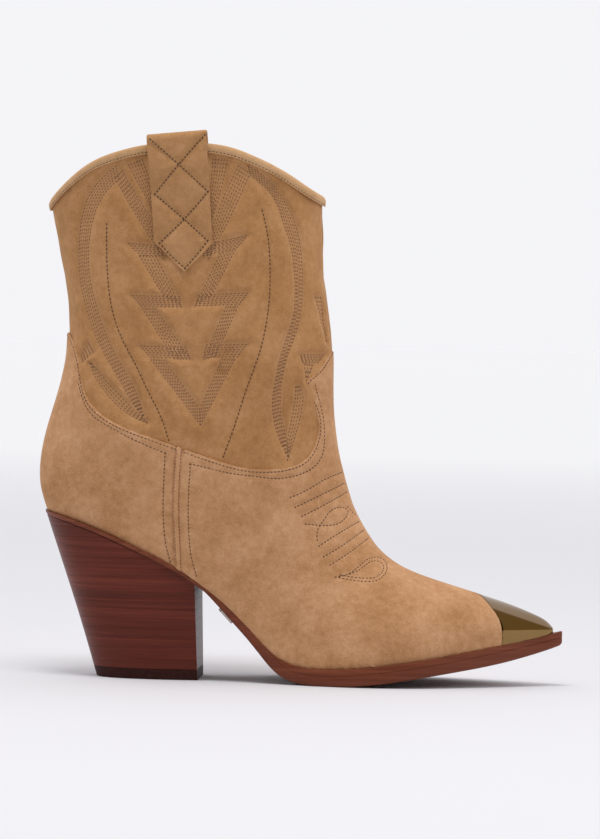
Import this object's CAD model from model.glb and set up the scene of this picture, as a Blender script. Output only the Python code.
import math

import bmesh
import bpy
import numpy as np
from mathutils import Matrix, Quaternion, Vector, noise
from mathutils.bvhtree import BVHTree
from mathutils.kdtree import KDTree


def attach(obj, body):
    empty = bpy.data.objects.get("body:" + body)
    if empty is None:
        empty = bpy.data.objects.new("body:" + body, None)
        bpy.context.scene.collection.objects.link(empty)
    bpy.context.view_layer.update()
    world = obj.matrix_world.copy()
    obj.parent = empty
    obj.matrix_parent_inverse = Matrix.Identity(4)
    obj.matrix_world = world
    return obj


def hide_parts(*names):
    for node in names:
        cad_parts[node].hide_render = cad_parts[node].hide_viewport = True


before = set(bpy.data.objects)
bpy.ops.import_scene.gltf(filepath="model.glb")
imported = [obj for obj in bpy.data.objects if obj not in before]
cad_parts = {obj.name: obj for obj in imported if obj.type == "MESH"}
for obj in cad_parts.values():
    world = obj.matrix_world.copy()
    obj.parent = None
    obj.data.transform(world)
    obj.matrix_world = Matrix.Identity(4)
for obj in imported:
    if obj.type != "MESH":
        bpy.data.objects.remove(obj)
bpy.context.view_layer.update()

MM = 0.001


# ---- Lining: smooth tan leather, one sleeve in the shaft and one in the foot --------------------
# The lining is sewn to the suede along the top line and takes the shape of the last, the form that
# the boot is made on. Every layer of the upper is a surface set in from the same last.
LAST = [
    # ridge x, z, far x, z, half width, shift in y, widest share, roundness near the ridge, far from it
    (85.8, 292, -64.4, 292, 40.6, 0, 0.50, 2.3, 2.3),
    (85.5, 247, -57.4, 247, 39.8, 0, 0.50, 2.3, 2.3),
    (86.2, 216, -51.2, 216, 38.8, 0, 0.50, 2.3, 2.3),
    (89.3, 188, -46.6, 188, 37.6, 0, 0.50, 2.3, 2.3),
    (91.8, 161, -47.2, 160, 36.2, 0, 0.50, 2.3, 2.3),
    (92.6, 139, -52.4, 138, 34.8, 0, 0.50, 2.25, 2.3),
    (95.6, 117, -57.8, 117, 33.6, 0, 0.50, 2.2, 2.3),
    (99.0, 103.5, -58.4, 98, 32.8, 0, 0.49, 2.15, 2.3),
    (103.0, 91.5, -50.8, 76, 32.4, 0, 0.47, 2.1, 2.3),
    (107.6, 82.3, -34, 43, 31.6, 0, 0.44, 2.05, 2.2),
    (113.4, 73.2, 2, 10, 31.4, 0, 0.42, 2.0, 2.1),
    (121.0, 65.2, 46, -24, 35.5, -0.6, 0.42, 1.95, 2.2),
    (132.0, 58.4, 90, -40, 40.6, -1.2, 0.42, 1.9, 2.4),
    (147.0, 53.2, 126, -33, 38.6, -0.6, 0.42, 1.9, 2.4),
    (162.0, 48.7, 152, -16, 30.8, 0.6, 0.42, 1.9, 2.4),
    (176.5, 44.4, 172, 0, 22.4, 1.4, 0.42, 1.9, 2.4),
    (189.0, 40.2, 187, 9, 14.8, 2.2, 0.42, 1.9, 2.4),
    (198.5, 36.3, 197.8, 15, 9.2, 2.8, 0.42, 1.9, 2.4),
    (204.6, 32.8, 204.4, 20, 5.8, 3.0, 0.44, 2.0, 2.4),
    (207.6, 29.6, 207.5, 22.6, 3.0, 3.0, 0.50, 2.0, 2.2),
]
FEATHER = [(-64, 87.6), (-31, 78), (0, 65), (12, 59.4), (23, 52.8), (36, 43.6), (49, 31.9), (58, 22.2),
           (69, 12.9), (80, 9.2), (97, 8.6), (125, 11.5), (152, 15.8), (182, 21.6), (206.5, 27), (216, 29.4)]
TOP_LINE = [(-56.6, 243.2), (-50, 249.6), (-40.5, 258), (-30.3, 264.6), (-17.6, 269.4), (-4.2, 272.6),
            (12.3, 273.9), (27.7, 273.9), (40, 272), (50.4, 268.3), (61.2, 263.4), (71, 257.4),
            (79.5, 252), (86.4, 248.2)]
OVERLAY_EDGE = [(-60, 182), (-46, 177.5), (-37, 160.4), (-31.2, 141.5), (-23.4, 134.4), (-3.3, 125.6),
                (27.6, 115.4), (48.6, 109.7), (69.5, 110.1), (78.6, 113.9), (85, 127.5), (82.5, 141.8),
                (78.7, 153.6)]
SKIN = 1.2
PANEL = 1.2
LINING = 1.0


def smooth_curve(knots, values):
    """A natural cubic curve through values at knots, as a function of the place along it."""
    knots, values = np.asarray(knots, float), np.asarray(values, float)
    count, gaps = len(knots), np.diff(knots)
    system, right = np.eye(count), np.zeros(count)
    slopes = np.diff(values) / gaps
    for i in range(1, count - 1):
        system[i, i - 1:i + 2] = gaps[i - 1], 2 * (gaps[i - 1] + gaps[i]), gaps[i]
        right[i] = 6 * (slopes[i] - slopes[i - 1])
    bend = np.linalg.solve(system, right)

    def at(place):
        place = np.asarray(place, float)
        k = np.clip(np.searchsorted(knots, place) - 1, 0, count - 2)
        before, after, gap = place - knots[k], knots[k + 1] - place, gaps[k]
        curved = (bend[k] * after ** 3 + bend[k + 1] * before ** 3) / (6 * gap)
        return (curved + (values[k] / gap - bend[k] * gap / 6) * after
                + (values[k + 1] / gap - bend[k + 1] * gap / 6) * before)
    return at


def run_along(path):
    """The distance from the start of a path to each of its points."""
    return np.concatenate([[0], np.cumsum(np.linalg.norm(np.diff(path, axis=0), axis=1))])


def smooth_path(points, step=0.5):
    """Points every step mm along a smooth curve through the given ones, in any number of dimensions."""
    points = np.asarray(points, float)
    knots = run_along(points)
    places = np.linspace(0, knots[-1], max(3, int(knots[-1] / step) + 1))
    if len(points) == 2:
        return points[0] + (points[1] - points[0]) * (places / knots[-1])[:, None]
    return np.stack([smooth_curve(knots, column)(places) for column in points.T], -1)


last_steps = [(math.dist(p[:2], q[:2]) + math.dist(p[2:4], q[2:4])) / 2 for p, q in zip(LAST, LAST[1:])]
last_knots = np.concatenate([[0], np.cumsum(last_steps)])
last_rows = [smooth_curve(last_knots, column) for column in zip(*LAST)]
feather_z = smooth_curve(*zip(*FEATHER))
top_line_path = smooth_path(TOP_LINE)


def last_point(along, angle, inset):
    """A point of the last: along runs from the shaft to the toe, angle goes round from the ridge."""
    ridge_x, ridge_z, far_x, far_z, half, shift, widest, near, rear = [row(along) for row in last_rows]
    length = np.hypot(far_x - ridge_x, far_z - ridge_z)
    front = np.cos(angle) >= 0
    power = 2 / np.where(front, near, rear)
    reach = np.where(front, widest, 1 - widest) * length - inset
    out = widest * length - reach * np.sign(np.cos(angle)) * np.abs(np.cos(angle)) ** power
    y = (half - inset) * np.sign(np.sin(angle)) * np.abs(np.sin(angle)) ** power + shift
    share = out / length
    return np.stack([ridge_x + (far_x - ridge_x) * share, y, ridge_z + (far_z - ridge_z) * share], -1)


def last_normal(along, angle, inset):
    """The outward direction of the last."""
    ahead = last_point(along + 0.4, angle, inset) - last_point(along - 0.4, angle, inset)
    aside = last_point(along, angle + 0.01, inset) - last_point(along, angle - 0.01, inset)
    out = np.cross(ahead, aside)
    return out / np.maximum(np.linalg.norm(out, axis=-1, keepdims=True), 1e-9)


def under_path(points, path):
    """How far points of the side view lie above (+) or below (-) a path that runs along x."""
    order = np.argsort(path[:, 0])
    return points[..., 2] - np.interp(points[..., 0], path[order, 0], path[order, 1])


def outline_distance(points, outline):
    """Signed distance in the side view to a closed outline, negative inside."""
    x, z = points[..., 0].ravel(), points[..., 2].ravel()
    nearest = np.full(x.shape, 1e9)
    inside = np.zeros(x.shape, bool)
    for (x0, z0), (x1, z1) in zip(outline, np.roll(outline, -1, axis=0)):
        dx, dz = x1 - x0, z1 - z0
        share = np.clip(((x - x0) * dx + (z - z0) * dz) / max(dx * dx + dz * dz, 1e-12), 0, 1)
        nearest = np.minimum(nearest, np.hypot(x - x0 - share * dx, z - z0 - share * dz))
        if z0 != z1:
            crossing = ((z0 > z) != (z1 > z)) & (x < x0 + (z - z0) * dx / dz)
            inside ^= crossing
    return np.where(inside, -nearest, nearest).reshape(points.shape[:-1])


def new_object(name, points_mm, faces, smooth_angle=40):
    """A mesh object from points in mm, with smooth faces and sharp edges where it turns hard."""
    mesh = bpy.data.meshes.new(name)
    mesh.from_pydata((np.asarray(points_mm, float) * MM).tolist(), [], faces)
    mesh.validate()
    mesh.polygons.foreach_set("use_smooth", [True] * len(mesh.polygons))
    mesh.set_sharp_from_angle(angle=math.radians(smooth_angle))
    obj = bpy.data.objects.new(name, mesh)
    bpy.context.scene.collection.objects.link(obj)
    return obj


def cut_grid(along, angle, keep, closed=False):
    """The part of a grid on the last where keep(points) is negative: places of its corners and faces.
    Cells that the edge crosses are cut along it, so the piece has a clean edge."""
    rows, columns = np.meshgrid(along, angle, indexing="ij")
    apart = keep(last_point(rows, columns, SKIN))
    inside = apart < 0
    count_i, count_j = rows.shape
    number = -np.ones(rows.shape, int)
    number[inside] = np.arange(inside.sum())
    places = [np.stack([rows[inside], columns[inside]], -1)]
    extra, cut, faces = [], {}, []
    last_column = count_j if closed else count_j - 1

    def crossing(p, q):
        key = (p, q) if p < q else (q, p)
        if key not in cut:
            share = apart[key[0]] / (apart[key[0]] - apart[key[1]])
            turn = columns[key[1]] - columns[key[0]]
            turn = turn - 2 * math.pi * round(turn / (2 * math.pi)) if closed else turn
            extra.append((rows[key[0]] + share * (rows[key[1]] - rows[key[0]]),
                          columns[key[0]] + share * turn))
            cut[key] = int(inside.sum()) + len(extra) - 1
        return cut[key]

    for i in range(count_i - 1):
        for j in range(last_column):
            k = (j + 1) % count_j
            ring = [(i, j), (i, k), (i + 1, k), (i + 1, j)]
            marks = [inside[corner] for corner in ring]
            if all(marks):
                faces.append([int(number[corner]) for corner in ring])
            elif any(marks):
                face = []
                for n in range(4):
                    here, there = ring[n], ring[(n + 1) % 4]
                    if marks[n]:
                        face.append(int(number[here]))
                    if marks[n] != marks[(n + 1) % 4]:
                        face.append(crossing(here, there))
                faces.append(face)
    if extra:
        places.append(np.array(extra))
    return np.concatenate(places), faces


def point_tree(points):
    """A search tree over points, to find the nearest one."""
    tree = KDTree(len(points))
    for n, point in enumerate(points):
        tree.insert(point, n)
    tree.balance()
    return tree


def border_of(faces):
    """Directed border edges of a set of faces."""
    seen = set()
    for face in faces:
        for a, b in zip(face, face[1:] + face[:1]):
            seen.add((a, b))
    return [(a, b) for a, b in seen if (b, a) not in seen]


def shell_between(quads, count):
    """Faces that close two equal sheets of count points each: outer sheet, inner sheet and their rim."""
    under = [[v + count for v in face[::-1]] for face in quads]
    return quads + under + [[b, a, a + count, b + count] for a, b in border_of(quads)]


def leather_piece(name, places, faces, outside, inside, relief=None, edge_round=0.6):
    """A closed piece of leather between two insets of the last, with rounded cut edges.
    relief(points) gives how far its outer face stands out or sinks in, in mm."""
    along, angle = places[:, 0], places[:, 1]
    outer, inner = last_point(along, angle, outside), last_point(along, angle, inside)
    out = last_normal(along, angle, outside)
    border = border_of(faces)
    rim = sorted({a for edge in border for a in edge})
    tree = point_tree(outer[rim])
    height = np.zeros(len(outer)) if relief is None else relief(outer)
    if edge_round:
        from_edge = np.array([tree.find(point)[2] for point in outer])
        near = np.clip(from_edge / edge_round, 0, 1)
        height = height * near - edge_round * (1 - np.sqrt(1 - (1 - near) ** 2))
    outer = outer + out * height[:, None]
    count = len(outer)
    flip = np.dot(np.cross(outer[faces[0][1]] - outer[faces[0][0]], outer[faces[0][2]] - outer[faces[0][0]]),
                  out[faces[0][0]]) < 0
    tops = [face[::-1] for face in faces] if flip else faces
    return new_object(name, np.concatenate([outer, inner]), shell_between(tops, count))


def linear(hex_colour):
    """An sRGB hex colour as the linear values that a node takes."""
    channels = [int(hex_colour[i:i + 2], 16) / 255 for i in (1, 3, 5)]
    return [c / 12.92 if c <= 0.04045 else ((c + 0.055) / 1.055) ** 2.4 for c in channels] + [1.0]


def node(tree, kind, settings=(), **links):
    """Adds a node with its settings and its inputs: a value, or a socket to link."""
    new = tree.nodes.new(kind)
    for key, value in dict(settings).items():
        setattr(new, key, value)
    for key, value in links.items():
        numbered = key[0] == "i" and key[1:].isdigit()
        socket = new.inputs[int(key[1:]) if numbered else key.replace("_", " ")]
        if isinstance(value, bpy.types.NodeSocket):
            tree.links.new(value, socket)
        else:
            socket.default_value = value
    return new


def ramp(tree, source, *stops):
    """A colour ramp over a value, from (place, hex colour) stops."""
    new = tree.nodes.new("ShaderNodeValToRGB")
    tree.links.new(source, new.inputs[0])
    elements = new.color_ramp.elements
    while len(elements) < len(stops):
        elements.new(0.5)
    for element, (place, colour) in zip(elements, stops):
        element.position = place
        element.color = linear(colour)
    return new.outputs[0]


def new_material(name):
    """An empty material: returns it, its tree, its surface shader, and the place on the piece."""
    material = bpy.data.materials.new(name)
    material.use_nodes = True
    tree = material.node_tree
    shader = tree.nodes["Principled BSDF"]
    place = node(tree, "ShaderNodeTexCoord").outputs["Object"]
    return material, tree, shader, place


def dress(obj, material, slot, *nodes):
    """Gives a piece its material, record slot and body, and says which CAD nodes it stands for."""
    obj.data.materials.clear()
    obj.data.materials.append(material)
    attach(obj, "root")
    if nodes:
        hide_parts(*nodes)


# Smooth lining leather: pigmented and lightly glazed, so it has a soft gloss and a fine grain.
lining_leather, tree, shader, place = new_material("lining_calf_leather")
grain = node(tree, "ShaderNodeTexVoronoi", {"feature": "SMOOTH_F1"}, Vector=place, Scale=1 / (0.9 * MM))
cloud = node(tree, "ShaderNodeTexNoise", Vector=place, Scale=1 / (35 * MM), Detail=3.0)
tree.links.new(ramp(tree, cloud.outputs[0], (0.3, "#A98561"), (0.7, "#BD9A76")), shader.inputs["Base Color"])
bump = node(tree, "ShaderNodeBump", Strength=0.25, Distance=0.1 * MM, Height=grain.outputs["Distance"])
tree.links.new(bump.outputs[0], shader.inputs["Normal"])
shader.inputs["Roughness"].default_value = 0.48

round_angles = np.linspace(0, 2 * math.pi, 200, endpoint=False)
lining_inset = SKIN + PANEL
places, faces = cut_grid(
    np.linspace(last_knots[0] + 8, last_knots[18], 260), round_angles,
    lambda p: np.maximum(under_path(p, top_line_path) + 1.0, feather_z(p[..., 0]) - p[..., 2]), closed=True)
lining = leather_piece("lining", places, faces, lining_inset, lining_inset + LINING, edge_round=0)
dress(lining, lining_leather, "lining_leather", "shaft_lining", "foot_lining")


# ---- Insole, sock and heel pad: the layers under the foot ---------------------------------------
# A board insole with cork and a steel shank under it, covered by a leather sock. The heel pad is thin
# foam under leather, glued on top of the sock.
def plain_material(name, light, dark, scale, roughness, metallic=0.0):
    """A material with two close tones in soft patches: board, cork, felt or metal."""
    material, tree, shader, place = new_material(name)
    cloud = node(tree, "ShaderNodeTexNoise", Vector=place, Scale=1 / (scale * MM), Detail=5.0, Roughness=0.6)
    tree.links.new(ramp(tree, cloud.outputs[0], (0.35, dark), (0.65, light)), shader.inputs["Base Color"])
    bump = node(tree, "ShaderNodeBump", Strength=0.3 if metallic == 0 else 0.05, Distance=0.1 * MM,
                Height=cloud.outputs[0])
    tree.links.new(bump.outputs[0], shader.inputs["Normal"])
    shader.inputs["Roughness"].default_value = roughness
    shader.inputs["Metallic"].default_value = metallic
    return material


def paint(material, *nodes):
    """Gives CAD nodes that keep their shape a better material."""
    for name in nodes:
        cad_object = bpy.data.objects[name]
        for material_slot in cad_object.material_slots:
            material_slot.link = "OBJECT"
            material_slot.material = material


paint(plain_material("fibre_insole_board", "#A98B66", "#94764F", 3, 0.8), "insole_board")
paint(plain_material("cork", "#B58A5C", "#7E5A35", 2, 0.9), "forefoot_filler")
paint(plain_material("stiffener_felt", "#B9A88C", "#A39277", 2, 0.9), "heel_counter", "toe_puff",
      "vamp_interlining")
paint(plain_material("bright_steel", "#B9BABD", "#A7A8AB", 8, 0.35, 1.0), "shank", "shank_rivets",
      "heel_screw", "heel_nails")
paint(lining_leather, "sock_lining")

sheet_points = last_point(*np.meshgrid(np.linspace(last_knots[5], last_knots[12], 400), round_angles, indexing="ij"),
                          SKIN + PANEL + LINING + 2.2).reshape(-1, 3)
level = sheet_points[np.abs(sheet_points[:, 2] - feather_z(sheet_points[:, 0]) - 3.8) < 1.2]
pad_back, pad_front = level[:, 0].min() + 0.5, 7.5
pad_x = pad_back + (pad_front - pad_back) * (1 - np.cos(np.linspace(0, math.pi, 60))) / 2
pad_half = np.array([np.abs(level[np.abs(level[:, 0] - x) < 1.2][:, 1]).max() for x in pad_x]) - 0.6
pad_half *= np.sqrt(np.clip(1 - ((pad_x - (pad_back + 14)) / 15) ** 2, 0.0004, 1)) ** (pad_x < pad_back + 14)
pad_half *= np.sqrt(np.clip(1 - ((pad_x - (pad_front - 12)) / 12.2) ** 2, 0.0004, 1)) ** (pad_x > pad_front - 12)
pad_side = np.sin(np.linspace(-math.pi / 2, math.pi / 2, 40))
pad_grid_x, pad_grid_v = np.meshgrid(pad_x, pad_side, indexing="ij")
pad_grid_y = pad_grid_v * pad_half[:, None]
pad_edge = np.minimum(pad_half[:, None] - np.abs(pad_grid_y),
                      np.minimum(pad_grid_x - pad_back, pad_front - pad_grid_x))
crown = np.sqrt(1 - (1 - np.clip(pad_edge / 3, 0, 1)) ** 2)
pad_floor = feather_z(pad_grid_x) + 3.02
pad_top = np.stack([pad_grid_x, pad_grid_y, pad_floor + 0.15 + 1.3 * crown], -1).reshape(-1, 3)
pad_under = np.stack([pad_grid_x, pad_grid_y, pad_floor], -1).reshape(-1, 3)
pad_quads = [[i * 40 + j, (i + 1) * 40 + j, (i + 1) * 40 + j + 1, i * 40 + j + 1]
             for i in range(59) for j in range(39)]
heel_pad = new_object("leather_heel_pad", np.concatenate([pad_top, pad_under]),
                      shell_between(pad_quads, len(pad_top)), 60)
dress(heel_pad, lining_leather, "lining_leather", "heel_pad")


# ---- Shaft: two suede panels with rows of decorative stitching ----------------------------------
# Each panel is one piece of tan suede, sewn to its lining in bands of parallel rows. The rows pull the
# suede down and leave it softly puffed beside them. The lower edge runs under the vamp and counter.
LAP = 8.0
BAND_ROWS = 6
STITCH_LONG = 1.15
STITCH_PITCH = 1.9
STITCH_THICK = 0.42
# the two edges of each stitched band
BANDS = [
    ([(-19.5, 262), (-26.5, 256), (-33, 248), (-37, 237.5), (-38.8, 223.5), (-39, 212), (-37.5, 199), (-34, 186.5),
      (-29.5, 175), (-21.5, 161), (-14, 149), (-8.5, 140.5), (-1.5, 132)],
     [(-17.5, 254.5), (-23.5, 248.5), (-28.5, 240), (-31.5, 229.5), (-32.8, 217), (-32, 205), (-28.5, 191.5),
      (-24, 178.5), (-18.5, 167), (-11.5, 155.5), (-8, 149.5), (-5, 142.5), (-1.5, 132)]),
    ([(-32, 161), (-30, 155.5), (-26, 149.5), (-20.5, 142.5), (-14, 137), (-7.5, 133.5), (-1.5, 131.5)],
     [(-30, 160.5), (-25.5, 156), (-21, 151), (-15.5, 146), (-11, 141.5), (-6.5, 137), (-1.5, 132)]),
    ([(48, 263.5), (56.5, 258), (63, 251), (68.5, 242.5), (72.5, 233.5), (75, 221.5), (76.3, 207.5), (76.3, 196),
      (75.5, 186), (73, 176.5), (69.5, 166.5), (67.5, 156), (66.5, 145), (67.5, 134.5), (69.5, 127), (70.5, 114)],
     [(49.5, 257.5), (56.5, 252), (62, 244.5), (65.5, 235), (69.5, 222.5), (71.5, 210), (72.2, 196), (71.5, 187),
      (69, 178), (66, 168), (63.8, 157), (62, 145), (63, 133.5), (65, 126.5), (68.5, 118.5), (70.5, 114)]),
    ([(76, 151.5), (78, 147), (77.8, 142), (76.5, 133.5), (74.5, 126.5), (72.5, 120), (70.5, 114)],
     [(73.5, 151), (73, 145), (72, 138.5), (71, 132), (70, 126), (70, 120.5), (70.5, 114)]),
    ([(-20, 255), (-11.5, 241), (-3.5, 228.5), (6, 214.5)], [(-15.5, 259.5), (-6, 244), (0.5, 235), (8, 223)]),
    ([(-13.5, 262), (-7, 251), (-0.5, 239.5), (5, 228.5)], [(-5, 265), (-1, 254.5), (4, 241), (7, 232)]),
    ([(42.5, 263), (34.5, 244.5), (31.5, 235.5), (26.5, 223.5)], [(49.5, 259), (42.5, 242), (35, 226.5), (29, 215)]),
    ([(29.5, 266), (29, 255.5), (27.5, 242.5), (26, 232.5)], [(38, 265.5), (35.5, 252.5), (31.5, 238.5), (28.5, 229)]),
    ([(-12.5, 223), (7, 222)], [(-5.5, 216), (7.5, 216)]),
    ([(-7, 216), (5.5, 197)], [(3, 216), (15, 192)]),
    ([(26.5, 223), (48, 228)], [(26.5, 216.5), (43, 221)]),
    ([(43, 220.5), (31.5, 197.5)], [(34, 218), (22.5, 192)]),
    ([(-10, 196.5), (14, 196.5)], [(-4.5, 190.3), (15.5, 190.3)]),
    ([(-5, 189.5), (11.5, 164.5)], [(3, 189.5), (21, 164.5)]),
    ([(24.5, 197.5), (49, 199)], [(22.5, 191), (44.5, 192.3)]),
    ([(44.5, 191.5), (34, 166.5)], [(37.5, 191), (27, 164.5)]),
    ([(-5.5, 171), (17.5, 170.8)], [(0.5, 164.5), (20.5, 164.5)]),
    ([(0, 163.5), (26, 130.5)], [(8, 163.5), (25.5, 140)]),
    ([(29, 172.3), (49, 173)], [(27, 165), (44, 165.5)]),
    ([(43.5, 164.5), (26.5, 130.5)], [(36, 164.5), (25.7, 140)]),
    ([(76, 168), (87.5, 168.5)], [(77.3, 163.5), (84, 163.5)]),
    ([(77.5, 163), (79, 154.5)], [(82.5, 162.5), (79.5, 154.5)]),
    ([(82, 197), (84.3, 189), (86, 182.5), (88, 175)], [(85.2, 197), (86.3, 189.5), (87.5, 182), (88.7, 175.5)]),
    ([(-37, 165.5), (-33, 171.5)], [(-35.5, 161.5), (-30, 166.5)]),
]
SINGLE_ROWS = [
    [(-23.5, 232), (-23.5, 217.5), (-23, 207.5), (-20.5, 190), (-15, 174.5), (-7, 160), (-1, 148),
     (6, 134.5), (10, 123)],
    [(55.5, 240.5), (58, 230), (60, 209), (60, 200), (59, 186.5), (55.5, 168.5), (49, 149), (43.5, 131), (38, 115)],
]


def rows_between(edge, other_edge):
    """The rows of a stitched band, spread evenly between its two edges."""
    long = np.linalg.norm(np.diff(np.array(edge), axis=0), axis=1).sum()
    wide = np.linalg.norm(np.subtract(edge, other_edge[:1]), axis=1).min()
    first, second = smooth_path(edge), smooth_path(other_edge)
    even = np.linspace(0, 1, int(long * 2))
    first, second = [np.stack([np.interp(even, np.linspace(0, 1, len(path)), column) for column in path.T], -1)
                     for path in (first, second)]
    count = BAND_ROWS if wide > 3.5 else BAND_ROWS - 2
    apart = np.linalg.norm(second - first, axis=1) / count
    least = [0, 0.5, 0.25, 0.5, 0.25, 0.5]
    return [(first + (second - first) * (row + 0.5) / count)[apart >= least[row]] for row in range(count)]


def beside(path, offset):
    """A path in the side view moved sideways by offset."""
    ahead = np.gradient(path, axis=0)
    ahead /= np.maximum(np.linalg.norm(ahead, axis=1, keepdims=True), 1e-9)
    return path + np.stack([-ahead[:, 1], ahead[:, 0]], -1) * offset


def face_tree(obj):
    """A search tree over a piece's faces."""
    return BVHTree.FromPolygons([v.co.copy() for v in obj.data.vertices],
                                [tuple(p.vertices) for p in obj.data.polygons])


def laid_on(path, tree, side, lift=0.0):
    """Drops a side-view path onto a piece, from the outer side (-1) or the inner side (1), in mm."""
    laid = []
    for x, z in path:
        hit, normal = tree.ray_cast(Vector((x * MM, side * 0.3, z * MM)), Vector((0, -side, 0)))[:2]
        if hit is not None and hit.y * side > -0.002:
            laid.append(np.array(hit) / MM + np.array(normal) * lift)
    return np.array(laid) if laid else np.zeros((0, 3))


def near_paths(paths):
    """A function that gives the distance of each point to the nearest of some laid paths."""
    tree = point_tree(np.concatenate([p for p in paths if len(p)]))
    return lambda where: np.array([tree.find(point)[2] for point in where])


def soft_folds(points, size, depth, seed):
    """Gentle uneven waves of soft leather."""
    shift = Vector((seed * 7.1, seed * 3.7, seed * 5.3))
    return np.array([noise.fractal(Vector(p) / size + shift, 1.0, 2.0, 2) for p in points]) * depth


def thread_tree():
    """Stitches along the rows of a curve: a node tree with inputs for length, pitch, thickness and thread."""
    group = bpy.data.node_groups.new("stitches_along_rows", "GeometryNodeTree")
    group.interface.new_socket("Rows", in_out="INPUT", socket_type="NodeSocketGeometry")
    for label, default in (("Pitch", STITCH_PITCH), ("Stitch length", STITCH_LONG), ("Thickness", STITCH_THICK)):
        group.interface.new_socket(label, in_out="INPUT", socket_type="NodeSocketFloat").default_value = default * MM
    group.interface.new_socket("Thread", in_out="INPUT", socket_type="NodeSocketMaterial")
    group.interface.new_socket("Stitches", in_out="OUTPUT", socket_type="NodeSocketGeometry")
    inlet, outlet = group.nodes.new("NodeGroupInput"), group.nodes.new("NodeGroupOutput")
    points = node(group, "GeometryNodeCurveToPoints", {"mode": "LENGTH"}, Curve=inlet.outputs["Rows"],
                  Length=inlet.outputs["Pitch"])
    bead = node(group, "GeometryNodeMeshUVSphere", Segments=6, Rings=4, Radius=0.5)
    size = node(group, "ShaderNodeCombineXYZ", X=inlet.outputs["Thickness"], Y=inlet.outputs["Thickness"],
                Z=inlet.outputs["Stitch length"])
    turn = node(group, "FunctionNodeAlignRotationToVector", {"axis": "Z"}, Vector=points.outputs["Tangent"])
    wobble = node(group, "FunctionNodeRandomValue", {"data_type": "FLOAT_VECTOR"}, Min=(-0.12, -0.12, 0),
                  Max=(0.12, 0.12, 0), Seed=5)
    tilt = node(group, "FunctionNodeRotateRotation", {"rotation_space": "LOCAL"}, Rotation=turn.outputs[0],
                i1=wobble.outputs[0])
    made = node(group, "GeometryNodeInstanceOnPoints", Points=points.outputs["Points"],
                Instance=bead.outputs["Mesh"], Rotation=tilt.outputs[0], Scale=size.outputs[0])
    real = node(group, "GeometryNodeRealizeInstances", Geometry=made.outputs[0])
    painted = node(group, "GeometryNodeSetMaterial", Geometry=real.outputs[0], Material=inlet.outputs["Thread"])
    smooth = node(group, "GeometryNodeSetShadeSmooth", Geometry=painted.outputs[0])
    group.links.new(smooth.outputs[0], outlet.inputs[0])
    return group


stitch_tree = thread_tree()


def sew(name, rows, thread, pitch=STITCH_PITCH, long=STITCH_LONG, thick=STITCH_THICK):
    """One piece with every stitch of some laid rows."""
    curve = bpy.data.curves.new(name + "_rows", "CURVE")
    curve.dimensions = "3D"
    for row in rows:
        if len(row) < 4:
            continue
        spline = curve.splines.new("POLY")
        spline.points.add(len(row) - 1)
        flat = np.concatenate([row * MM, np.ones((len(row), 1))], 1)
        spline.points.foreach_set("co", flat.ravel())
    source = bpy.data.objects.new(name + "_rows", curve)
    bpy.context.scene.collection.objects.link(source)
    modifier = source.modifiers.new("stitches", "NODES")
    modifier.node_group = stitch_tree
    values = {"Pitch": pitch * MM, "Stitch length": long * MM, "Thickness": thick * MM, "Thread": thread}
    for item in stitch_tree.interface.items_tree:
        if item.name in values:
            modifier[item.identifier] = values[item.name]
    evaluated = source.evaluated_get(bpy.context.evaluated_depsgraph_get())
    mesh = bpy.data.meshes.new_from_object(evaluated)
    stitched = bpy.data.objects.new(name, mesh)
    bpy.context.scene.collection.objects.link(stitched)
    bpy.data.objects.remove(source)
    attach(stitched, "root")
    return stitched


def suede_material(name, dark, middle, light, nap=1.0):
    """Suede split with a short nap: rubbed patches lie lighter or darker, no gloss, a soft sheen."""
    material, tree, shader, place = new_material(name)
    patches = node(tree, "ShaderNodeTexNoise", Vector=place, Scale=1 / (22 * MM), Detail=5.0, Roughness=0.62)
    strokes = node(tree, "ShaderNodeTexNoise", Vector=place, Scale=1 / (3.2 * MM), Detail=4.0, Roughness=0.65)
    fibres = node(tree, "ShaderNodeTexNoise", Vector=place, Scale=1 / (0.55 * MM), Detail=3.0, Roughness=0.7)
    first = node(tree, "ShaderNodeMath", {"operation": "MULTIPLY_ADD"}, i0=strokes.outputs[0], i1=0.6,
                 i2=patches.outputs[0])
    second = node(tree, "ShaderNodeMath", {"operation": "MULTIPLY_ADD"}, i0=fibres.outputs[0], i1=0.8,
                  i2=first.outputs[0])
    share = node(tree, "ShaderNodeMapRange", Value=second.outputs[0])
    share.inputs["From Min"].default_value = 0.84
    share.inputs["From Max"].default_value = 1.56
    colour = ramp(tree, share.outputs[0], (0.1, dark), (0.5, middle), (0.9, light))
    sunk = node(tree, "ShaderNodeAttribute", {"attribute_name": "sunk"})
    rubbed = node(tree, "ShaderNodeMath", {"operation": "MULTIPLY"}, i0=sunk.outputs["Fac"], i1=0.4)
    pressed = node(tree, "ShaderNodeMix", {"data_type": "RGBA"}, Factor=rubbed.outputs[0])
    tree.links.new(colour, pressed.inputs[6])
    pressed.inputs[7].default_value = linear(light)
    tree.links.new(pressed.outputs[2], shader.inputs["Base Color"])
    rough = node(tree, "ShaderNodeBump", Strength=0.55 * nap, Distance=0.22 * MM, Height=fibres.outputs[0])
    soft = node(tree, "ShaderNodeBump", Strength=0.35 * nap, Distance=0.5 * MM, Height=strokes.outputs[0],
                Normal=rough.outputs[0])
    tree.links.new(soft.outputs[0], shader.inputs["Normal"])
    shader.inputs["Roughness"].default_value = 0.93
    shader.inputs["Specular IOR Level"].default_value = 0.12
    shader.inputs["Sheen Weight"].default_value = 0.2
    shader.inputs["Sheen Roughness"].default_value = 0.45
    shader.inputs["Sheen Tint"].default_value = linear("#E8CDB0")
    return material


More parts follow.
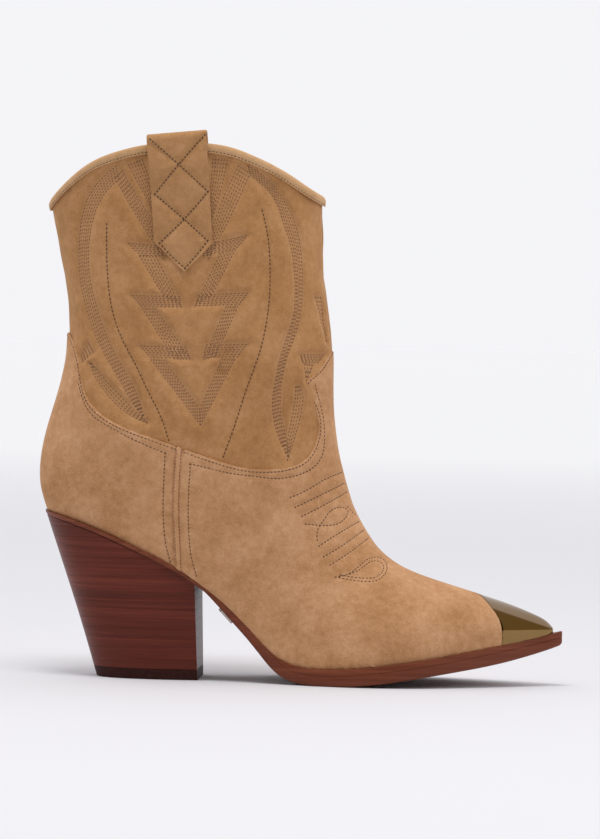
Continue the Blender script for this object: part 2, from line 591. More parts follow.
def set_sunk(obj, values):
    """Stores how far each point of the outer face is pressed down by stitches, from 0 to 1."""
    attribute = obj.data.attributes.new("sunk", "FLOAT", "POINT")
    attribute.data.foreach_set("value", np.concatenate([values, np.zeros(len(obj.data.vertices) - len(values))]))


def smooth_step(value, low, high):
    """0 below low, 1 above high, and a soft turn between them."""
    share = np.clip((value - low) / (high - low), 0, 1)
    return share * share * (3 - 2 * share)


suede = suede_material("tan_suede", "#9E7146", "#B28254", "#C39468")
def thread_material(name, dark, light, roughness=0.6):
    """Bonded polyester thread, waxed: two close tones along its twist and a slight gloss."""
    material, tree, shader, place = new_material(name)
    twist = node(tree, "ShaderNodeTexWave", {"wave_type": "BANDS", "bands_direction": "DIAGONAL"}, Vector=place,
                 Scale=1 / (1.6 * MM))
    tree.links.new(ramp(tree, twist.outputs["Fac"], (0.0, dark), (1.0, light)), shader.inputs["Base Color"])
    shader.inputs["Roughness"].default_value = roughness
    return material


brown_thread = thread_material("brown_sewing_thread", "#3F2617", "#573823")
tan_thread = thread_material("tan_sewing_thread", "#6A4633", "#825C46", 0.65)

# a bare sheet of the last, to lay the rows on before the panels exist
sheet_rows, sheet_columns = np.meshgrid(np.linspace(0, last_knots[-1], 220), np.append(round_angles, 2 * math.pi),
                                        indexing="ij")


def last_sheet(inset):
    """A search tree over the whole last at an inset."""
    points = last_point(sheet_rows, sheet_columns, inset).reshape(-1, 3) * MM
    wide = sheet_rows.shape[1]
    quads = [(i * wide + j, i * wide + j + 1, (i + 1) * wide + j + 1, (i + 1) * wide + j)
             for i in range(sheet_rows.shape[0] - 1) for j in range(wide - 1)]
    return BVHTree.FromPolygons([Vector(p) for p in points], quads)


panel_sheet = last_sheet(SKIN)
lap_path = smooth_path(np.array([(x, z - LAP) for x, z in OVERLAY_EDGE[:8]] + [(72, 101), (104, 101)]))


def shaft_keep(points, side):
    """Negative where a shaft panel is."""
    above = under_path(points, top_line_path) + 1.0
    below = -under_path(points, lap_path)
    other_side = -points[..., 1] * side
    return np.maximum(np.maximum(above, below), other_side)


for side, label in ((-1, "lateral"), (1, "medial")):
    band_rows = [laid_on(row, panel_sheet, side) for band in BANDS for row in rows_between(*band)]
    single_rows = [laid_on(smooth_path(row), panel_sheet, side) for row in SINGLE_ROWS]
    band_apart, single_apart = near_paths(band_rows), near_paths(single_rows)

    def shaft_relief(points):
        band, single = band_apart(points), single_apart(points)
        sunk = -0.6 * (1 - smooth_step(band, 0.4, 1.6)) - 0.35 * (1 - smooth_step(single, 0.2, 1.6))
        puffed = 0.75 * smooth_step(band, 0.9, 3.6) * (1 - smooth_step(band, 5, 15))
        return sunk + puffed + soft_folds(points, 30, 0.7, 1 + side)

    start, stop = (math.pi, 2 * math.pi) if side < 0 else (0, math.pi)
    places, faces = cut_grid(np.linspace(last_knots[0] + 10, last_knots[8], 270),
                             np.linspace(start - 0.02, stop + 0.02, 240),
                             lambda p, side=side: shaft_keep(p, side))
    panel = leather_piece("suede_shaft_" + label, places, faces, SKIN, SKIN + PANEL, shaft_relief)
    flat_points = last_point(places[:, 0], places[:, 1], SKIN)
    set_sunk(panel, 1 - smooth_step(band_apart(flat_points), 0.5, 1.6))
    dress(panel, suede, "suede", "shaft_" + label)
    on_panel = face_tree(panel)
    rows = [laid_on(row[:, [0, 2]], on_panel, side, 0.02) for row in band_rows if len(row)]
    sew("shaft_band_stitches_" + label, rows, tan_thread, long=1.2, thick=0.45)
    rows = [laid_on(row[:, [0, 2]], on_panel, side, 0.05) for row in single_rows if len(row)]
    sew("shaft_row_stitches_" + label, rows, brown_thread, pitch=2.1, long=1.5, thick=0.58)


# ---- Counter: the suede piece round the heel ----------------------------------------------------
# One piece of suede, lasted over a stiffener, so it is tight and smooth. Its curved top edge lies on
# the shaft, held by a row of stitches along the edge and a second row inside it.
SEAM_LINE = [(15.8, 122), (14.6, 88), (15.6, 70), (17.0, 46)]
SEAM_WIDE = 3.0
overlay_path = smooth_path(OVERLAY_EDGE)
tongue_path = smooth_path([(78.7, 153.6), (83.6, 158.8), (90.6, 171.4), (93, 178)])
overlay_outline = np.concatenate([overlay_path[::2], tongue_path[::2],
                                  [(300, 178), (300, -90), (-90, -90), (-90, 182)]])
seam_path = smooth_path(SEAM_LINE)


def overlay_keep(points):
    """Negative in the vamp and counter: below their upper edge and above the feather line."""
    return np.maximum(outline_distance(points, overlay_outline), feather_z(points[..., 0]) - points[..., 2])


def before_seam(points):
    """How far points lie in front of the middle of the side seam."""
    order = np.argsort(seam_path[:, 1])
    return points[..., 0] - np.interp(points[..., 2], seam_path[order, 1], seam_path[order, 0])


COUNTER_ROWS = [
    [(-37.5, 150), (-34.5, 141.5), (-29.5, 134.5), (-21.5, 129.5), (-10.5, 124), (1.5, 119), (8.5, 116.3)],
    [(8.5, 116.3), (8.1, 103), (7.9, 89), (8.6, 77), (10, 68), (12, 61)],
]
edge_row = beside(smooth_path(OVERLAY_EDGE + [(83.6, 158.8), (90.6, 171.4)]), 0)
skin_sheet = last_sheet(0)
inner_edge_row = beside(edge_row, 1.5 if np.cross(edge_row[9] - edge_row[8], (0, -1)) > 0 else -1.5)


def rows_on(sheet, rows):
    """The same side-view rows laid on both sides of a sheet."""
    return [laid_on(smooth_path(row) if isinstance(row, list) else row, sheet, side)
            for row in rows for side in (-1, 1)]


counter_rows = rows_on(skin_sheet, COUNTER_ROWS + [inner_edge_row[inner_edge_row[:, 0] < 14]])
counter_apart = near_paths(counter_rows)


def counter_relief(points):
    row = counter_apart(points)
    return (-0.3 * (1 - smooth_step(row, 0.1, 1.3)) + 0.12 * smooth_step(row, 1, 3) * (1 - smooth_step(row, 4, 9))
            + soft_folds(points, 40, 0.4, 4))


foot_suede = suede_material("light_tan_suede", "#A5774D", "#BD8D64", "#CFA17A")
places, faces = cut_grid(
    np.linspace(last_knots[3], last_knots[12], 250), round_angles,
    lambda p: np.maximum(overlay_keep(p), before_seam(p) + SEAM_WIDE / 2), closed=True)
counter = leather_piece("suede_counter", places, faces, 0, SKIN, counter_relief)
set_sunk(counter, 0.7 - 0.7 * smooth_step(counter_apart(last_point(places[:, 0], places[:, 1], 0)), 0.2, 1.1))
dress(counter, foot_suede, "suede", "counter_cover")
on_counter = face_tree(counter)
rows = rows_on(on_counter, COUNTER_ROWS + [inner_edge_row[inner_edge_row[:, 0] < 14]])
sew("counter_stitches", [row for row in rows if len(row)], brown_thread, pitch=2.0, long=1.5, thick=0.56)


# ---- Side welts: a narrow folded strip in the seam on each side ---------------------------------
# A strip of suede folded over a cord and caught in the seam between counter and vamp, so it stands up
# as a small rounded ridge.
for side, label in ((-1, "lateral"), (1, "medial")):
    start, stop = (0.25, 0.8) if side > 0 else (1.2, 1.75)
    places, faces = cut_grid(
        np.linspace(last_knots[5], last_knots[11], 260), np.linspace(math.pi * start, math.pi * stop, 420),
        lambda p: np.maximum(overlay_keep(p), np.abs(before_seam(p)) - SEAM_WIDE / 2))

    def strip_relief(points):
        across = np.abs(before_seam(points)) / (SEAM_WIDE / 2)
        return 0.8 * np.sqrt(np.clip(1 - across ** 2, 0, 1)) - 0.25

    strip = leather_piece("suede_side_welt_" + label, places, faces, 0, SKIN, strip_relief, edge_round=0.3)
    dress(strip, foot_suede, "suede", "side_welt_" + label)
    on_strip = face_tree(strip)
    rows = [laid_on(seam_path[::-1] + np.array([across, 0]), on_strip, side, 0.05) for across in (-1.15, 1.15)]
    sew("side_welt_stitches_" + label, [row for row in rows if len(row)], tan_thread, pitch=1.7, long=1.1,
        thick=0.42)


# ---- Vamp: the suede front of the foot, with its tongue up the shaft ----------------------------
# One piece of suede pulled over the last and down under the welt. Decorative single rows of stitches
# meet over the instep, and two close rows hold its upper edge to the shaft.
CAP_EDGE = [(160, 54), (163.3, 47.7), (170, 44.8), (174.7, 40.7), (178.7, 36.2), (181, 31.6), (181.5, 20),
            (181, 8)]
VAMP_ROWS = [
    [(72.5, 95), (81, 99), (89, 104), (97, 107.5)],
    [(75, 90), (85, 95), (98.5, 102)],
    [(78.5, 85.5), (89, 91), (100, 97.5)],
    [(80.5, 81.5), (87, 81), (94, 81), (99, 83.5), (101, 88.5), (97.5, 90), (93, 88.5), (89, 83), (86.5, 78.5),
     (86.5, 73.5)],
    [(101, 90), (104.5, 86)],
    [(87.5, 70.5), (96.5, 76.5), (106.5, 82.5)],
    [(90, 65), (99.5, 71), (109, 78)],
    [(93.5, 61), (102.5, 67), (111.5, 74)],
    [(96.5, 55), (112, 53), (119, 54.5), (122, 59.5), (120, 63.5), (113.5, 64.5), (108, 60.5), (102.5, 56.5),
     (96.5, 55)],
    [(99, 56), (112, 54.6), (118, 56), (120.3, 59.7), (118.6, 62.2), (114, 62.8), (108.7, 59), (103.5, 56.6)],
]
cap_path = smooth_path(CAP_EDGE)


def before_cap(points):
    """How far points lie in front of the edge of the toe cap."""
    order = np.argsort(cap_path[:, 1])
    return points[..., 0] - np.interp(points[..., 2], cap_path[order, 1], cap_path[order, 0])


vamp_edges = [
    [(21.5, 111), (21, 100), (20.8, 89.5), (21.3, 76), (22.7, 64), (25.5, 54)],
    [(21.5, 111), (27.5, 109.9), (33.5, 108.5), (44, 106.5), (54, 105.5), (64.5, 104.5), (74.5, 106), (83, 110),
     (87.5, 116), (88.5, 126), (88, 134), (86, 143), (83.5, 152)],
    inner_edge_row[inner_edge_row[:, 0] > 18],
]
vamp_laid = rows_on(skin_sheet, VAMP_ROWS + vamp_edges)
vamp_apart = near_paths(vamp_laid)


def vamp_relief(points):
    row = vamp_apart(points)
    behind_cap = smooth_step(-before_cap(points), 2, 30)
    joint = (smooth_step(points[:, 1], 18, 28) * smooth_step(points[:, 0], 112, 126)
             * smooth_step(-before_cap(points), 4, 16))
    return (-0.28 * (1 - smooth_step(row, 0.1, 1.2)) + 0.1 * smooth_step(row, 1, 3) * (1 - smooth_step(row, 4, 8))
            + soft_folds(points, 42, 0.32, 7) * behind_cap + 0.6 * joint)


places, faces = cut_grid(
    np.linspace(last_knots[3], last_knots[18], 300), round_angles,
    lambda p: np.maximum(np.maximum(overlay_keep(p), SEAM_WIDE / 2 - before_seam(p)), before_cap(p)), closed=True)
vamp = leather_piece("suede_vamp", places, faces, 0, SKIN, vamp_relief, edge_round=0.4)
set_sunk(vamp, 0.7 - 0.7 * smooth_step(vamp_apart(last_point(places[:, 0], places[:, 1], 0)), 0.2, 1.0))
dress(vamp, foot_suede, "suede", "vamp")
on_vamp = face_tree(vamp)
sew("vamp_stitches", [row for row in rows_on(on_vamp, VAMP_ROWS + vamp_edges) if len(row)], brown_thread,
    pitch=1.9, long=1.4, thick=0.54)


# ---- Toe cap: polished antique gold metal -------------------------------------------------------
# Sheet metal pressed over the toe, polished and lacquered. The suede ends against its curved edge.
cap_metal, tree, shader, place = new_material("polished_antique_gold")
cloud = node(tree, "ShaderNodeTexNoise", Vector=place, Scale=1 / (18 * MM), Detail=4.0)
patina = node(tree, "ShaderNodeAttribute", {"attribute_name": "patina"})
clouded = node(tree, "ShaderNodeMath", {"operation": "MULTIPLY_ADD"}, i0=cloud.outputs[0], i1=0.06,
               i2=patina.outputs["Fac"])
colour = ramp(tree, clouded.outputs[0], (0.03, "#8D7048"), (0.3, "#63481F"), (0.62, "#5C4220"), (1.0, "#8C755C"))
tree.links.new(colour, shader.inputs["Base Color"])
smear = node(tree, "ShaderNodeTexNoise", Vector=place, Scale=1 / (14 * MM), Detail=2.0)
rough = node(tree, "ShaderNodeMapRange", Value=smear.outputs[0])
rough.inputs["To Min"].default_value = 0.05
rough.inputs["To Max"].default_value = 0.12
tree.links.new(rough.outputs[0], shader.inputs["Roughness"])
shader.inputs["Metallic"].default_value = 1.0
places, faces = cut_grid(
    np.linspace(last_knots[12], last_knots[19], 240), np.linspace(0, 2 * math.pi, 160, endpoint=False),
    lambda p: np.maximum(feather_z(p[..., 0]) - p[..., 2], 0.12 - before_cap(p)), closed=True)
cap = leather_piece("metal_toe_cap", places, faces, 0, SKIN, None, edge_round=0.25)
# the lacquered flanks keep a dark patina between the polished ridge and the polished lower edge
cap_points = np.array([v.co for v in cap.data.vertices]) / MM
low_line, high_line = 29.3, 41.3 - 0.34 * (cap_points[:, 0] - 172.5)
patina_share = 0.5 * smooth_step(cap_points[:, 2], low_line - 0.3, low_line + 0.3)
patina_share += 0.5 * smooth_step(cap_points[:, 2], high_line - 0.5, high_line + 0.5)
cap.data.attributes.new("patina", "FLOAT", "POINT").data.foreach_set("value", patina_share)
dress(cap, cap_metal, "gold_metal", "toe_cap")


# ---- Binding: a folded suede strip round the top line -------------------------------------------
# The strip is folded over the edges of suede and lining together, and one row of stitches along its
# lower edge goes through all of them.
# how far in, and how far below the top line, round the strip's closed section
BINDING_SECTION = [
    (0.3, 4.9), (-0.1, 4.8), (-0.28, 4.55), (-0.2, 4.2), (-0.12, 4.0), (-0.22, 3.7), (-0.4, 2.9), (-0.35, 1.5),
    (0.0, 0.7), (0.7, 0.15), (1.6, 0.0), (2.7, 0.0), (3.6, 0.2), (4.1, 0.8), (4.25, 1.7), (4.3, 2.8), (4.2, 4.0),
    (4.05, 4.7), (3.75, 4.9), (3.42, 4.85), (3.42, 1.02), (1.18, 1.02), (1.18, 4.85),
]


def at_top_line(angle, inset, below):
    """The place along the last where an angle and inset lie some way below the top line."""
    low, high = np.full(angle.shape, last_knots[0]), np.full(angle.shape, last_knots[3])
    for _ in range(40):
        middle = (low + high) / 2
        above = under_path(last_point(middle, angle, inset), top_line_path) + below > 0
        low, high = np.where(above, middle, low), np.where(above, high, middle)
    return (low + high) / 2


ring = np.linspace(0, 2 * math.pi, 420, endpoint=False)
section_points = [last_point(at_top_line(ring, inset, below), ring, inset) for inset, below in BINDING_SECTION]
count = len(ring)
points = np.concatenate(section_points)
wide = len(BINDING_SECTION)
faces = [[k * count + j, k * count + (j + 1) % count, (k + 1) % wide * count + (j + 1) % count,
          (k + 1) % wide * count + j] for k in range(wide) for j in range(count)]
binding_suede = suede_material("binding_suede", "#B58C60", "#C39A70", "#CFA77D", nap=0.8)
binding = new_object("suede_binding", points, faces, 60)
dress(binding, binding_suede, "suede_binding", "top_binding")
row_angle = np.linspace(0, 2 * math.pi, 1200)
binding_row = last_point(at_top_line(row_angle, -0.14, 4.0), row_angle, -0.14)
sew("binding_stitches", [binding_row], brown_thread, pitch=1.9, long=1.35, thick=0.46)


# ---- Pull straps: a padded suede band folded into a loop on each side ---------------------------
# Two layers of suede stitched in a lattice, pointed at the lower end. The band goes up over the
# binding, folds, and is sewn in again on the inside.
STRAP_OUTLINE = [(1.2, 223.3), (-4.4, 290), (30.9, 223.3), (26.0, 290)]
STRAP_TIP = (16.8, 208.4)
STRAP_THICK = 1.6
STRAP_PATH = [(-38.4, 205), (-39.6, 245), (-41.6, 261), (-41.9, 279.5), (-34.0, 279.5), (-34.2, 238)]
STRAP_ROWS = [
    [(-1.5, 275.2), (13.2, 262.9), (28.1, 249.4)], [(26.2, 278), (13.2, 262.9), (1.2, 247.5)],
    [(1.2, 247.5), (16.3, 235.2), (28.4, 224.6)], [(28.1, 249.4), (16.3, 235.2), (4.0, 222.8)],
    [(4.0, 222.8), (10.4, 216.2), (17.2, 210.4)], [(28.4, 224.6), (22.8, 217), (17.2, 210.4)],
]


def rounded_path(points, bends):
    """A path of straight lines with round corners."""
    points = [np.array(p, float) for p in points]
    path = [points[0]]
    for before, corner, after, radius in zip(points, points[1:], points[2:], bends):
        to, away = before - corner, after - corner
        to, away = to / np.linalg.norm(to), away / np.linalg.norm(away)
        half = math.acos(np.clip(np.dot(to, away), -1, 1)) / 2
        centre = corner + (to + away) / np.linalg.norm(to + away) * radius / math.sin(half)
        start = corner + to * radius / math.tan(half) - centre
        stop = corner + away * radius / math.tan(half) - centre
        sweep = math.acos(np.clip(np.dot(start, stop) / radius ** 2, -1, 1))
        for share in np.linspace(0, 1, 14):
            turned = start * math.sin((1 - share) * sweep) + stop * math.sin(share * sweep)
            path.append(centre + turned / math.sin(sweep))
    return np.array(path + [points[-1]])


def along_path(path, step):
    """Evenly spaced points along a path."""
    places = run_along(path)
    even = np.linspace(0, places[-1], int(places[-1] / step))
    return np.stack([np.interp(even, places, column) for column in path.T], -1), even


strap_path, strap_run = along_path(rounded_path(STRAP_PATH, [20, 20, 2.2, 2.2]), 0.6)
strap_ahead = np.gradient(strap_path, axis=0)
strap_ahead /= np.linalg.norm(strap_ahead, axis=1, keepdims=True)
strap_out = np.stack([-strap_ahead[:, 1], strap_ahead[:, 0]], -1)
STRAP_BACK = 5.5
fold_start = strap_run[np.argmax(strap_path[:, 1] > 278)]


def strap_sides(run, height):
    """The two edges in x of the strap, its lower end drawn to a point."""
    (x0, z0), (x1, z1), (x2, z2), (x3, z3) = STRAP_OUTLINE
    left = x0 + (x1 - x0) * (height - z0) / (z1 - z0)
    right = x2 + (x3 - x2) * (height - z2) / (z3 - z2)
    share = np.clip((height - STRAP_TIP[1]) / (z0 - STRAP_TIP[1]), 0, 1) if run < fold_start else 1.0
    return STRAP_TIP[0] + (left - STRAP_TIP[0]) * share, STRAP_TIP[0] + (right - STRAP_TIP[0]) * share


dark_thread = thread_material("dark_strap_thread", "#3C2315", "#553623")
strap_suede = suede_material("strap_suede", "#A0744B", "#B08358", "#BF9268", nap=0.8)
strap_row_paths = [smooth_path(row) for row in STRAP_ROWS]
lattice = point_tree([(x, 0, z) for x, z in np.concatenate(strap_row_paths)])
across = np.sin(np.linspace(-math.pi / 2, math.pi / 2, 46))
for side, label in ((-1, "lateral"), (1, "medial")):
    first = np.argmax(strap_path[:, 1] > STRAP_TIP[1] + 0.15)
    grid = []
    for k in range(first, len(strap_path)):
        y, z = strap_path[k]
        left, right = strap_sides(strap_run[k], z)
        x = (left + right) / 2 + across * (right - left) / 2
        edge = np.minimum(np.minimum(x - left, right - x), 3)
        outer_leg = strap_run[k] < fold_start
        sunk = np.array([lattice.find((px, 0, z))[2] for px in x]) if outer_leg else np.full(len(x), 9.0)
        drop = np.abs((x - 17) / 68) ** 2.3 * 17 * (1 - smooth_step(z, 250, 264)) if outer_leg else 0 * x
        face = STRAP_THICK / 2 * (0.35 + 0.65 * np.sqrt(1 - (1 - np.clip(edge / 0.9, 0, 1)) ** 2))
        face_out = face - 0.4 * (1 - smooth_step(sunk, 0.2, 1.5)) + 0.4 * smooth_step(sunk, 0.8, 4)
        tilt = 0.1 * (x - 26) * smooth_step(z, 250, 279)
        out_y, out_z = strap_out[k]
        grid.append((np.stack([x, y + drop + out_y * face_out, z + tilt + out_z * face_out], -1),
                     np.stack([x, y + drop - out_y * face, z + tilt - out_z * face], -1)))
    outer = np.concatenate([pair[0] for pair in grid])
    inner = np.concatenate([pair[1] for pair in grid])
    rows, columns = len(grid), len(across)
    total = rows * columns
    quads = [[i * columns + j, i * columns + j + 1, (i + 1) * columns + j + 1, (i + 1) * columns + j]
             for i in range(rows - 1) for j in range(columns - 1)]
    shell = shell_between(quads, total)
    behind = STRAP_BACK if side > 0 else 0
    points = np.concatenate([outer, inner]) * np.array([1, -side, 1]) - np.array([behind, 0, 0])
    if side > 0:
        shell = [face[::-1] for face in shell]
    strap = new_object("suede_pull_strap_" + label, points, shell, 60)
    dress(strap, strap_suede, "suede_strap", "pull_strap_" + label)
    on_strap = face_tree(strap)
    rows = [laid_on(path - np.array([behind, 0]), on_strap, side, 0.02) for path in strap_row_paths]
    sew("pull_strap_stitches_" + label, [row for row in rows if len(row)], dark_thread,
        pitch=1.85, long=1.2, thick=0.72)


# ---- Welt and outsole: brown leather with a dressed edge ----------------------------------------
# The welt runs round the forefoot under the upper. The outsole is one piece of stained leather from
# the toe to the back of the heel seat. Their edges are trimmed together, stained and polished.
SEAT_SOLE = 2.4
SOLE_UNDER = [(30, 45.6), (37, 38.4), (45, 29.8), (53, 21.2), (60.5, 12.4), (66.3, 6.4), (72, 2.8), (80, 0.6),
              (86, 0)]
SOLE_TOE = [(104, 0), (120, 1.8), (150, 6.6), (180, 11.9), (201, 17.4), (216, 22.6)]
WELT_UNDER = [(72, 8.0), (82, 5.6), (97, 5.2), (125, 8.2), (152, 12.5), (182, 18.2), (206.5, 23.7), (216, 26.1)]
SOLE_PLAN = [(-55.4, 0), (-52.2, -11.6), (-43.2, -21), (-28, -27.6), (-6, -30.2), (20, -30), (45, -29.4), (72, -35),
             (95, -41.6), (114, -44), (136, -41.4), (160, -30.4), (184, -15.2), (202, -3.6), (209.6, 0.2),
             (212.2, 3.4), (209.6, 6.8), (202, 10.6), (184, 20.6), (160, 33.2), (138, 41.2), (114, 42),
             (95, 38.6), (72, 33.4), (45, 29.2), (20, 30), (-6, 30.2), (-28, 27.6), (-43.2, 21), (-52.2, 11.6)]


def profile(*parts):
    """Height against x of a side-view line made of smooth parts."""
    path = np.concatenate([smooth_path(part) for part in parts])
    order = np.argsort(path[:, 0])
    return lambda x: np.interp(x, path[order, 0], path[order, 1])


seat_line = [(x, z - SEAT_SOLE) for x, z in FEATHER[:5]]
sole_under = profile(seat_line, SOLE_UNDER, SOLE_TOE)
sole_top = profile(FEATHER[:8], WELT_UNDER)
welt_top = profile(FEATHER)
looped = smooth_path(SOLE_PLAN[-5:] + SOLE_PLAN + SOLE_PLAN[:5], 0.2)
tip = np.argmax(looped[:, 0])
starts = [np.argmin(looped[:tip, 0]), tip + np.argmin(looped[tip:, 0])]
outer_side, inner_side = looped[starts[0]:tip + 1], looped[tip:starts[1] + 1][::-1]


def sole_ring(back, steps, offset):
    """The sole's outline from an x to the toe and back on the other side, set in by an offset."""
    share = np.linspace(0, math.pi, steps) if back < -50 else np.linspace(math.pi * 0.15, math.pi, steps)
    x = looped[tip, 0] + (back - looped[tip, 0]) * (1 + np.cos(share)) / (1 + math.cos(share[0]))
    ring = []
    for side_path in (outer_side, inner_side):
        places = run_along(side_path)
        run = np.interp(x, np.maximum.accumulate(side_path[:, 0]), places)
        ring.append(np.stack([np.interp(run, places, column) for column in side_path.T], -1))
    closed = np.concatenate([ring[0], ring[1][::-1][1:]])
    ahead = np.gradient(closed, axis=0)
    if back < -50:
        ahead[0] = ahead[-1] = (0, -1)
    ahead[steps - 1] = (0, 1)
    ahead /= np.linalg.norm(ahead, axis=1, keepdims=True)
    return closed + np.stack([-ahead[:, 1], ahead[:, 0]], -1) * offset


def face_outward(obj, close=False):
    """Turns all faces of a closed piece outward, and first closes its seams where asked."""
    mesh = bmesh.new()
    mesh.from_mesh(obj.data)
    if close:
        bmesh.ops.remove_doubles(mesh, verts=mesh.verts, dist=0.00001)
        bmesh.ops.holes_fill(mesh, edges=mesh.edges, sides=0)
    bmesh.ops.recalc_face_normals(mesh, faces=mesh.faces)
    mesh.to_mesh(obj.data)
    mesh.free()
    return obj


def sole_layer(name, back, steps, top, under, edge, filled):
    """A layer of the sole between two heights over the outline. edge lists, from the top face down, how
    far in and how far below the top (+) or above the under side (-) its rounded edge runs."""
    points, faces = [], []
    for offset, depth in edge:
        ring = sole_ring(back, steps, offset)
        high, low = top(ring[:, 0]), under(ring[:, 0])
        half = np.maximum((high - low) / 2, 0.02)
        z = np.where(depth > 0, high - np.minimum(depth, half), low + np.minimum(-depth, half))
        points.append(np.concatenate([ring, z[:, None]], 1))
    wide = len(points[0])
    for k in range(len(edge) - 1):
        faces += [[k * wide + j, (k + 1) * wide + j, (k + 1) * wide + j + 1, k * wide + j + 1]
                  for j in range(wide - 1)]
    for k, surface, turned in ((0, top, False), (len(edge) - 1, under, True)):
        ring = points[k]
        rows = [[k * wide + i for i in range(steps)]]
        for share in np.linspace(0, 1, filled + 1)[1:-1]:
            start = sum(len(p) for p in points)
            across = ring[:steps, :2] * (1 - share) + ring[::-1][:steps, :2] * share
            gap = ring[:steps, 2] - surface(ring[:steps, 0])
            points.append(np.concatenate([across, (surface(across[:, 0]) + gap)[:, None]], 1))
            rows.append([start + i for i in range(steps)])
        rows.append([k * wide + wide - 1 - i for i in range(steps)])
        for a, b in zip(rows, rows[1:]):
            for i in range(steps - 1):
                face = [a[i], a[i + 1], b[i + 1], b[i]]
                faces.append(face[::-1] if turned else face)
    return face_outward(new_object(name, np.concatenate(points), faces, 50), close=True)


def edge_leather(name, colours, gloss):
    """Dense leather cut on edge: streaks along its layers under a wax polish."""
    material, tree, shader, place = new_material(name)
    stretched = node(tree, "ShaderNodeMapping", Vector=place, Scale=(0.14, 0.14, 7))
    streaks = node(tree, "ShaderNodeTexNoise", Vector=stretched.outputs[0], Scale=1 / (9 * MM), Detail=6.0,
                   Roughness=0.6)
    fine = node(tree, "ShaderNodeTexNoise", Vector=stretched.outputs[0], Scale=1 / (1.6 * MM), Detail=3.0)
    mixed = node(tree, "ShaderNodeMath", {"operation": "MULTIPLY_ADD"}, i0=fine.outputs[0], i1=0.3,
                 i2=streaks.outputs[0])
    tone = node(tree, "ShaderNodeAttribute", {"attribute_name": "tone"})
    toned = node(tree, "ShaderNodeMath", {"operation": "ADD"}, i0=mixed.outputs[0], i1=tone.outputs["Fac"])
    colour = ramp(tree, toned.outputs[0], (0.3, colours[0]), (0.65, colours[1]), (1.0, colours[2]))
    tree.links.new(colour, shader.inputs["Base Color"])
    bump = node(tree, "ShaderNodeBump", Strength=0.15, Distance=0.08 * MM, Height=mixed.outputs[0])
    tree.links.new(bump.outputs[0], shader.inputs["Normal"])
    shader.inputs["Roughness"].default_value = gloss
    shader.inputs["Specular IOR Level"].default_value = 0.16
    shader.inputs["Coat Weight"].default_value = 0.04
    shader.inputs["Coat Roughness"].default_value = 0.25
    return material


sole_leather = edge_leather("brown_sole_leather", ("#57291A", "#743C28", "#8A5038"), 0.42)
OUTSOLE_EDGE = [(1.2, 0.001), (0.15, 0.03), (0.02, 0.15), (0.0, 0.5), (0.0, -1.3), (0.35, -0.55), (1.3, -0.001)]
outsole = sole_layer("leather_outsole", -55.4, 190, sole_top, sole_under, OUTSOLE_EDGE, 26)
dress(outsole, sole_leather, "sole_leather", "outsole")
welt_leather = edge_leather("brown_welt_leather", ("#582A19", "#763D27", "#8C5137"), 0.42)
WELT_EDGE = [(1.4, 0.001), (0.45, 0.04), (0.1, 0.25), (0.0, 0.7), (0.0, -0.4), (0.03, -0.1), (0.5, -0.001)]
welt = sole_layer("leather_welt", 60, 150, welt_top, sole_top, WELT_EDGE, 20)
dress(welt, welt_leather, "welt_leather", "welt")


# ---- Waist plaque: a blank metal plate with two studs -------------------------------------------
# Stamped and polished metal, let into the under side of the waist and riveted at both ends.
paint(plain_material("polished_plaque_metal", "#C9C0B6", "#B3A99E", 10, 0.25, 1.0), "waist_plaque")
paint(plain_material("dark_stud_metal", "#55504B", "#3E3935", 5, 0.35, 1.0), "plaque_studs")


# ---- Heel: stacked leather lifts, stained red brown and polished --------------------------------
# Fifteen lifts of leather glued and nailed in a stack under the heel seat, then cut to a tapered
# block. The lines between the lifts stay visible under the polish.
TOP_LIFT = 5.4
LIFTS = 15
HEEL_HIGH = 82.6
HEEL_SECTIONS = [(94, -58.6, 23.0, 32.4), (64.4, -48.4, 23.8, 29.6), (31.7, -37.2, 25.0, 25.2),
                 (0, -27.3, 26.3, 21.0)]
heel_back, heel_breast, heel_half = [
    smooth_curve([s[0] for s in HEEL_SECTIONS[::-1]], [s[n] for s in HEEL_SECTIONS[::-1]]) for n in (1, 2, 3)]
seat_path = smooth_path(seat_line)


def heel_ring(height, inset):
    """Points round the heel at a height, its front cut back to the heel seat where that is lower."""
    back, breast, half = float(heel_back(height)), float(heel_breast(height)), float(heel_half(height))
    long = breast - back
    side = [(breast, half * 0.95), (breast - 0.3 * long, half), (breast - 0.62 * long, half * 0.93),
            (breast - 0.88 * long, half * 0.62)]
    path = smooth_path([(x, -y) for x, y in side] + [(back, 0)] + side[::-1], 0.25)
    seat_x = np.interp(-height, -seat_path[:, 1], seat_path[:, 0])
    front = min(breast, seat_x if height > seat_path[-1, 1] else breast)
    ahead = np.gradient(path, axis=0)
    ahead /= np.linalg.norm(ahead, axis=1, keepdims=True)
    path = path + np.stack([ahead[:, 1], -ahead[:, 0]], -1) * -inset * np.sign(np.cross(ahead[0], (0, 1)))
    front -= inset
    kept = path[path[:, 0] <= front]
    run = run_along(kept)
    even = np.linspace(0, run[-1], 120)
    ring = np.stack([np.interp(even, run, column) for column in kept.T], -1)
    ring[0, 0] = ring[-1, 0] = front
    return np.concatenate([ring, np.full((120, 1), height)], 1)


